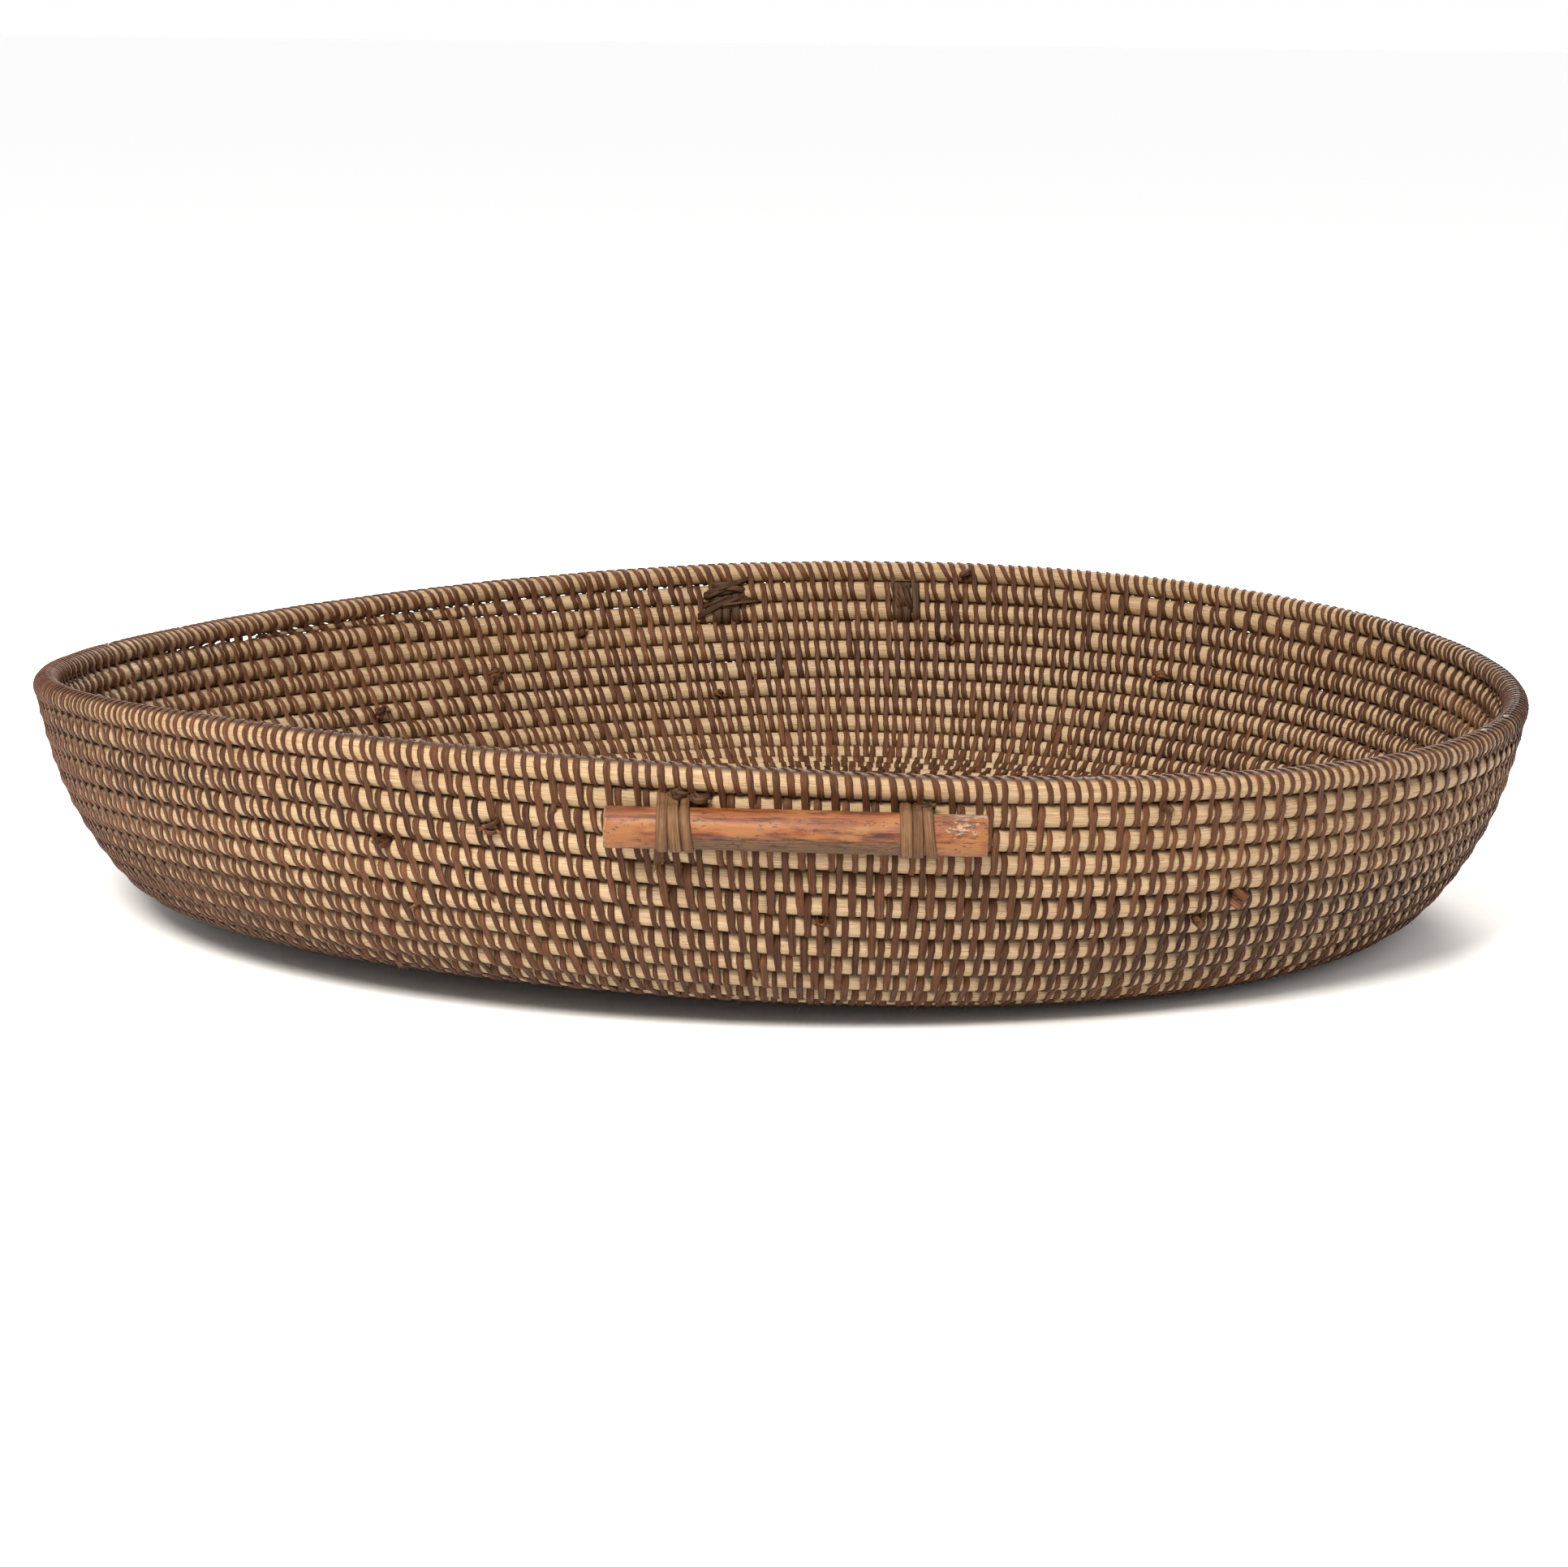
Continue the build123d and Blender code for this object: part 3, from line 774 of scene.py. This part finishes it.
# ---- handles and their ties
class Handle:
    """Where a handle and its ties go: the middle of the handle, its side of the basket, its tilt."""

    def __init__(self, name, tilt, side):
        low, high = (np.array(corner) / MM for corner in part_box(name))
        self.name, self.side = name, side
        self.middle = (low + high) / 2
        self.axis = np.array([cos(tilt), 0.0, -sin(tilt)])
        self.out = np.array([0.0, side, 0.0])
        self.up = np.array([sin(tilt), 0.0, cos(tilt)])

    def mesh(self, material, seed):
        """The bar with its rounded, ragged ends, and how worn, scuffed and cut it is."""
        draw = np.random.default_rng(seed)
        corner = np.linspace(0, pi / 2, CORNER_RINGS)
        edge, rounding = CORNER_LENGTH * np.sin(corner), CORNER_DEPTH * (1 - np.cos(corner))
        reach = HANDLE_LENGTH / 2
        shaft = np.linspace(-reach + CORNER_LENGTH, reach - CORNER_LENGTH, HANDLE_RINGS)
        place = np.concatenate([shaft[0] - edge[:0:-1], shaft, shaft[-1] + edge[1:]])
        shrink = np.concatenate([rounding[:0:-1], np.zeros(HANDLE_RINGS), rounding[1:]])
        around = np.arange(HANDLE_SIDES) * 2 * pi / HANDLE_SIDES
        place, shrink = place[:, None], shrink[:, None]
        radius = HANDLE_RADIUS + 0.10 * np.sin(place / 17 + draw.uniform(0, 6)) - 0.05
        wobble = 0.12 * np.sin(2 * around + 1.0) + 0.07 * np.sin(5 * around + place / 23)
        chip = draw.normal(0, 0.16, (len(place), HANDLE_SIDES)) * (shrink > 0.05)
        radius = radius - shrink + wobble + chip
        jag = np.abs(draw.normal(0, 0.22, (2, HANDLE_SIDES)))
        ragged = np.zeros((len(place), HANDLE_SIDES))
        ragged[:2] += jag[0]
        ragged[-2:] -= jag[1]
        centre = self.middle + (place + ragged)[..., None] * self.axis
        low_side = np.clip((-np.sin(around) + 0.1) * 1.5, 0, 1)
        along = 0.25 + 0.75 * np.exp(-(((place - WORN_MIDDLE) / WORN_REACH) ** 4))
        upper_side = np.clip(np.sin(around + 0.4) * 2, 0, 1)
        near_end = np.exp(-(((place - SCUFF_MIDDLE) / SCUFF_REACH) ** 2))
        parts = {
            "points": [round_section(centre, self.out, self.up, radius, around).reshape(-1, 3)],
            "grain": [grid(place + 90 * seed, radius * np.cos(around), radius * np.sin(around))],
            "worn": [np.clip(low_side * along, 0, 1).ravel()],
            "cut": [np.repeat(np.clip(shrink / 0.5, 0, 1), HANDLE_SIDES)],
            "scuffed": [(near_end * upper_side).ravel()],
        }
        quads, caps = tube_faces(len(place), HANDLE_SIDES)
        faces = [quads]
        for end, first in enumerate((0, (len(place) - 1) * HANDLE_SIDES)):
            caps[end] = self.add_end_rings(parts, faces, first, end == 0, draw)
        points, quads = np.concatenate(parts.pop("points")), np.concatenate(faces)
        attributes = {key: np.concatenate(values) for key, values in parts.items()}
        make_piece(f"{self.name}_cane", points, quads, caps, attributes, material, [self.name])

    def add_end_rings(self, parts, faces, first, flipped, draw):
        """A rough cut end: smaller and smaller rings inside one whose first point is given."""
        rim = parts["points"][0][first:first + HANDLE_SIDES]
        centre = rim.mean(0)
        outer = np.arange(first, first + HANDLE_SIDES)
        for share in (0.8, 0.5, 0.2):
            ring = centre + (rim - centre) * share + draw.normal(0, 0.1, (HANDLE_SIDES, 1)) * self.axis
            inner = np.arange(HANDLE_SIDES) + sum(len(points) for points in parts["points"])
            parts["points"].append(ring)
            parts["grain"].append(ring - self.middle + END_GRAIN_SHIFT)
            parts["worn"].append(np.zeros(HANDLE_SIDES))
            parts["cut"].append(np.ones(HANDLE_SIDES))
            parts["scuffed"].append(np.zeros(HANDLE_SIDES))
            loop = [outer, np.roll(outer, -1), np.roll(inner, -1), inner]
            faces.append(np.stack(loop[::-1] if flipped else loop, -1))
            outer = inner
        return outer[::-1] if flipped else outer

    def wall_angle(self, x, rows):
        """Angle round the basket of a place on the wall on the handle's side, at a distance along X."""
        radius = float(section(ROW_PITCH * rows)[0])
        return atan2(self.side * sqrt(radius * radius - x * x), x)

    def wall_at(self, x, rows):
        """Place on the wall's middle surface, at a distance along X and rows down from the rim."""
        return coil_point(self.wall_angle(x, rows), ROW_PITCH * rows)

    def strip_line(self, x_top, x_bottom):
        """Middle line of a strip and its outward directions.

        It goes down inside the wall, out below the handle, round that and back in above it."""
        inward = np.array([0, -self.side * cos(WALL_LEAN), sin(WALL_LEAN)])
        outward = -inward
        up_wall = np.array([0, self.side * sin(WALL_LEAN), cos(WALL_LEAN)])
        upper = self.wall_at(x_top, HANDLE_ROWS[0] - 0.5)
        lower = self.wall_at(x_bottom, HANDLE_ROWS[-1] + 0.5)
        inner = ROD_RADIUS + STRIP_THICKNESS + 0.5  # from the wall's middle surface, where it goes down
        outer = 3.2  # from there, where it leaves the wall for the handle
        bend = 0.9  # between the wall's holes and where it starts to bend into them
        grip = HANDLE_RADIUS + 0.45
        middle_x = (x_top + x_bottom) / 2
        centre = self.middle + self.axis * (middle_x - self.middle[0]) / self.axis[0]
        path = [
            (upper + inward * inner - up_wall * bend, inward),
            (upper * 0.5 + lower * 0.5 + inward * (inner + 0.4), inward),
            (lower + inward * inner + up_wall * bend, inward),
            (lower + inward * (inner - 1.0) - up_wall * 0.1, -up_wall),
            (lower + outward * outer, -up_wall),
        ]
        for turn in np.radians(np.linspace(-TIE_WRAP, TIE_WRAP, 15)):
            facing = outward * np.cos(turn) + up_wall * np.sin(turn)
            share = (np.sin(turn) + 1) / 2
            x_shift = (x_bottom * (1 - share) + x_top * share) - middle_x
            path.append((centre + facing * grip + np.array([x_shift, 0, 0]), facing))
        path += [
            (upper + outward * outer, up_wall),
            (upper + inward * (inner - 1.0) + up_wall * 0.1, up_wall),
        ]
        return tuple(np.array(column) for column in zip(*path))


def smoothed(line, facing, count):
    """The same path with more, evenly spaced points on a smooth curve."""
    lengths = lengths_along(line)
    even = np.linspace(0, lengths[-1], count)
    tangent = np.gradient(line, lengths, axis=0)
    index = np.clip(np.searchsorted(lengths, even, side="right") - 1, 0, len(lengths) - 2)
    gap = (lengths[index + 1] - lengths[index])[:, None]
    t = ((even - lengths[index])[:, None]) / gap
    smooth = (
        (2 * t**3 - 3 * t**2 + 1) * line[index]
        + (t**3 - 2 * t**2 + t) * gap * tangent[index]
        + (-2 * t**3 + 3 * t**2) * line[index + 1]
        + (t**3 - t**2) * gap * tangent[index + 1]
    )
    turned = facing[index] * (1 - t) + facing[index + 1] * t
    return smooth, unit(turned)


def tie_handle(handle, end, x, seed):
    """Three strips side by side round the handle and the wall, closer together at the top."""
    draw = np.random.default_rng(seed)
    bundle = Bundle()
    for strip in range(TIE_STRIPS):
        offset = (strip - (TIE_STRIPS - 1) / 2) * TIE_STRIP_PITCH
        x_top = x + offset * TIE_TOP_SPREAD + draw.normal(0, 0.3)
        x_bottom = x + offset * TIE_BOTTOM_SPREAD + draw.normal(0, 0.35) + 0.6
        line, facing = smoothed(*handle.strip_line(x_top, x_bottom), 90)
        tone = np.full(len(line), np.clip(draw.normal(0.5, 0.2), 0.1, 0.95))
        tone[:len(line) // 3] *= 0.2  # the part inside the bowl is made darker
        wide = TIE_STRIP_WIDTH * draw.uniform(0.92, 1.04)
        bundle.add(*sweep_strip(line, facing, wide, TIE_STRIP_THICKNESS, tone, seed + strip))
    name = f"{handle.name.split('_')[0]}_tie_{end}"
    bundle.piece(f"{name}_strips", tie_strip, "handle_tie", [name])


front, back = Handle("front_handle", radians(0.8), -1), Handle("back_handle", radians(-0.6), 1)
for number, handle in enumerate((front, back)):
    handle.mesh(handle_cane, 3 + number)
    tie_handle(handle, "left", handle.middle[0] - TIE_SPACING / 2, 60 + 10 * number)
    tie_handle(handle, "right", handle.middle[0] + TIE_SPACING / 2, 65 + 10 * number)


# ---- knots of the ties, loose ends and stray fibres
def ribbon(start, directions, lengths, facing, width, tone, seed, taper=0.0):
    """A short strip that leaves a place, each part of it in a direction of its own."""
    corners = np.concatenate([[start], start + np.cumsum(directions * np.asarray(lengths)[:, None], 0)])
    facings = np.repeat(facing[None, :], len(corners), 0)
    line, faces = smoothed(corners, facings, 4 * len(corners))
    narrowing = 1 - taper * np.linspace(0, 1, len(line)) ** 2
    return sweep_strip(line, faces, width, min(THIN_STRIP, width * 0.4), tone, seed, narrowing)


def wall_frame(angle, rows):
    """A place on the wall's middle surface, and vectors along the coil, outward and up there."""
    down = ROW_PITCH * rows
    here = coil_point(angle, down)
    along = unit(coil_point(angle + 0.01, down) - here)
    up = unit(here - coil_point(angle, down + 1.0))
    out = unit(np.cross(along, up))
    return here, along, out, up


def wad(bundle, angle, rows, size, slope, strips, inside, seed, lightness=0.12):
    """A knot lying on the wall: short strips that cross at a slope, each one above the last.

    A small one has two loose ends as well."""
    draw = np.random.default_rng(seed)
    here, along, out, up = wall_frame(angle, rows)
    out = -out if inside else out
    middle = here + out * (ROD_RADIUS + CANE_SWELL + 0.5)
    for strip in range(strips):
        turned = slope + draw.normal(0, 0.27)
        heading = along * cos(turned) + up * sin(turned)
        across = np.cross(out, heading)
        reach = size * draw.uniform(0.28, 0.5)
        height = 0.7 + 3.0 * strip / strips
        shares = np.linspace(-1, 1, 13)
        beside, ahead = draw.normal(0, size * 0.13), draw.normal(0, 0.2)
        line = middle + across * beside + (shares[:, None] + ahead) * reach * heading
        hump = height * (1 - np.abs(shares) ** 2.4) - 2.4 * np.abs(shares) ** 4
        line = line + hump[:, None] * out
        facing = unit(out + 0.9 * (shares**3)[:, None] * heading)
        tone = float(np.clip(draw.normal(lightness, 0.22), 0.0, 0.95))
        wide = TIE_STRIP_WIDTH * draw.uniform(0.3, 0.75)
        bundle.add(*sweep_strip(line, facing, wide, THIN_STRIP, tone, seed + strip))
    for end, sign in enumerate((-1, 1) if size < SMALL_KNOT else ()):
        start = middle + heading * sign * size * 0.3 + out
        loose_end(bundle, start, unit(heading * sign - up * 0.3), out, size * 0.3, 1.6, seed + 50 + end)


def loose_end(bundle, start, direction, facing, length, width, seed):
    """A cut strip end that stands clear of the wall and has split into fibres."""
    draw = np.random.default_rng(seed)
    tone = float(draw.uniform(0.35, 0.95))
    across = unit(np.cross(direction, facing))
    bends = [unit(direction + facing * k + across * draw.normal(0, 0.12)) for k in (0.25, 0.12, -0.05)]
    bundle.add(*ribbon(start, np.array(bends), [length / 4] * 3, facing, width, tone, seed))
    split = start + sum(b * length / 4 for b in bends)
    for fibre in range(int(draw.integers(3, 6))):
        spread = draw.uniform(-0.6, 0.6)
        base = split + across * spread * width * 0.7 - bends[-1] * length * 0.12
        bends_on = [
            unit(direction + across * (spread * k + draw.normal(0, 0.15)) + facing * draw.uniform(-0.3, 0.6))
            for k in (0.3, 0.8, 1.2)
        ]
        parts = [length * draw.uniform(0.1, 0.2)] * 3
        bundle.add(*ribbon(base, np.array(bends_on), parts, facing, width * 0.22, tone, seed + fibre, 0.8))


def on_rod(turn, angle, lift):
    """A place on a rod, at an angle from outward towards up, and vectors along and outward there."""
    centre, along, out, up = (v[0] for v in coil_frames(np.array([turn])))
    facing = cos(angle) * out + sin(angle) * up
    return centre + facing * (float(rod_size(turn)) + lift), along, facing, up


def stray_fibres(count):
    """Hairs that stand off the strips all over the wall."""
    bundle = Bundle()
    for number in range(count):
        turn = rng.uniform(FIRST_FRAYED_TURN, RIM_TURN + 0.98)
        inside = rng.random() < 0.3
        angle = rng.uniform(-1.2, 1.2) + (pi if inside else 0)
        start, along, facing, up = on_rod(turn, angle, 0.3)
        heading = unit(along * rng.normal(0, 1) + up * rng.normal(0, 1) + facing * rng.uniform(0.1, 0.5))
        bends = [heading]
        for _ in range(3):
            bends.append(unit(bends[-1] + rng.normal(0, 0.35, 3) - facing * 0.12))
        parts = [rng.uniform(0.6, 2.0)] * 4
        tone = float(rng.uniform(0.6, 1.0))
        bundle.add(*ribbon(start, np.array(bends), parts, facing, rng.uniform(0.14, 0.3), tone, number, 0.6))
    bundle.piece("stray_fibres", lashing, "lashing")


def loose_ends(count):
    """Cut ends of strips, where one was spliced to the next."""
    bundle = Bundle()
    for number in range(count):
        turn = rng.uniform(STEPPED_TURNS, RIM_TURN - 0.2)
        inside = rng.random() < 0.35
        angle = pi + radians(35) if inside else radians(-35)
        start, along, facing, up = on_rod(turn, angle, 0.25)
        heading = unit(up * rng.choice([-1, 1], p=[0.7, 0.3]) + along * rng.normal(0, 0.6))
        loose_end(bundle, start, heading, facing, rng.uniform(3, 8), rng.uniform(1.4, 2.8), 900 + number * 7)
    bundle.piece("loose_ends", lashing, "lashing")


stray_fibres(260)
loose_ends(60)

left_tie, right_tie = (front.middle[0] + offset for offset in (-TIE_SPACING / 2, TIE_SPACING / 2))
knots = Bundle()
for handle, x, rows, size, slope, strips, inside in (
    (back, -27.0, 1.4, 25.0, 171, 16, True),
    (back, 58.5, 1.5, 16.0, 68, 13, True),
    (front, left_tie, 1.5, 19.0, 40, 9, True),
    (front, right_tie, 1.5, 19.0, -35, 9, True),
    (front, left_tie + 2.0, 0.5, 7.0, 12, 7, False),
    (front, left_tie + 9.0, 0.62, 8.0, 8, 5, False),
    (front, right_tie + 2.0, 0.5, 7.0, 4, 7, False),
):
    angle, seed = handle.wall_angle(x, rows), int(rng.integers(1 << 20))
    wad(knots, angle, rows, size, radians(slope), strips, inside, seed)
knots.piece("tie_knots", tie_strip, "handle_tie")

tufts = Bundle()
for angle, rows, size, inside in (
    (-55, 4.6, 7.0, False), (-58, 5.6, 5.0, False), (-87, 5.5, 6.0, False), (-110, 2.5, 9.0, False),
    (-119, 3.5, 6.0, False), (-63, 0.55, 5.0, False), (118, 4.4, 9.0, True), (131, 5.6, 10.0, True),
    (109, 2.6, 7.0, True), (74, 3.5, 6.0, True), (52, 4.5, 8.0, True), (96, 6.4, 6.0, True),
    (73, 0.1, 8.0, True),
):
    slope, seed = rng.uniform(-0.8, 0.8), int(rng.integers(1 << 20))
    wad(tufts, radians(angle), rows, size * TUFT_SIZE, slope, TUFT_STRIPS, inside, seed, TUFT_LIGHTNESS)
tufts.piece("lashing_tufts", lashing, "lashing")

tab = Bundle()
under_tie = front.wall_at(left_tie - 5.5, 2.65)
outward = np.array([0.0, -cos(WALL_LEAN), -sin(WALL_LEAN)])
downward = np.array([0.05, sin(WALL_LEAN), -cos(WALL_LEAN)])
loose_end(tab, under_tie + outward * (ROD_RADIUS + 1.4), unit(downward), outward, 9.0, 3.6, 411)
tab.piece("frayed_tie_end", tie_strip, "handle_tie")

# ---- stage, in metres
FLOOR = -0.0013  # level with the lashing under the base
FLOOR_HALF = 40.0
FLOOR_WHITE = (0.97, 0.97, 0.97, 1)
WARM = (1.0, 0.965, 0.9)
LIT_PLACE = Vector((0, 0, 0.05))


def stage_floor():
    mesh = bpy.data.meshes.new("floor")
    corners = [(FLOOR_HALF * x, FLOOR_HALF * y, FLOOR) for x, y in ((-1, -1), (1, -1), (1, 1), (-1, 1))]
    mesh.from_pydata(corners, [], [(0, 1, 2, 3)])
    floor = in_scene("floor", mesh)
    paint = Shader("floor_paint")
    paint.bsdf.inputs["Base Color"].default_value = FLOOR_WHITE
    paint.bsdf.inputs["Roughness"].default_value = 0.9
    mesh.materials.append(paint.material)
    floor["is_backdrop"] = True


def area_light(name, place, size, power):
    """A round warm light that shines on the basket."""
    data = bpy.data.lights.new(name, "AREA")
    data.shape = "DISK"
    data.size = size
    data.energy = power
    data.color = WARM
    lamp = in_scene(name, data)
    lamp.location = place
    lamp.rotation_euler = (LIT_PLACE - Vector(place)).to_track_quat("-Z", "Y").to_euler()


stage_floor()
area_light("key", (-0.68, -1.95, 1.6), 0.9, 100)
area_light("top", (-0.2, -0.4, 2.4), 1.2, 16)
area_light("back", (0.7, 2.1, 1.5), 1.0, 55)
world = bpy.data.worlds.new("studio")
bpy.context.scene.world = world
world.use_nodes = True
background = world.node_tree.nodes["Background"]
background.inputs["Color"].default_value = (1, 1, 1, 1)
background.inputs["Strength"].default_value = 1.0
bpy.context.scene.view_settings.view_transform = "Standard"

# ---- camera: low in front of the basket, looking down at its far rim
CAMERA_TILT = radians(9.53)
CAMERA_ROLL = radians(0.63)
CAMERA_DISTANCE = 1.9467
CAMERA_LENS = 107.8
CAMERA_SENSOR = 36
CAMERA_SHIFT = (0.0025, 0.0040)
AIM_HEIGHT = 0.0444
forward = Vector((0, cos(CAMERA_TILT), -sin(CAMERA_TILT)))
level, steep = Vector((1, 0, 0)), Vector((0, sin(CAMERA_TILT), cos(CAMERA_TILT)))
rightward = level * cos(CAMERA_ROLL) + steep * sin(CAMERA_ROLL)
upward = -level * sin(CAMERA_ROLL) + steep * cos(CAMERA_ROLL)
camera_data = bpy.data.cameras.new("camera")
camera_data.lens = CAMERA_LENS
camera_data.sensor_width = CAMERA_SENSOR
camera_data.shift_x, camera_data.shift_y = CAMERA_SHIFT
camera = in_scene("camera", camera_data)
eye = -forward * CAMERA_DISTANCE + Vector((0, 0, AIM_HEIGHT))
rotation = Matrix((rightward, upward, -forward)).transposed().to_4x4()
camera.matrix_world = Matrix.Translation(eye) @ rotation
bpy.context.scene.camera = camera

boxes = {"cad": cad_bounds, "visual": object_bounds()}
{key: [list(map(float, corner)) for corner in box] for key, box in boxes.items()}
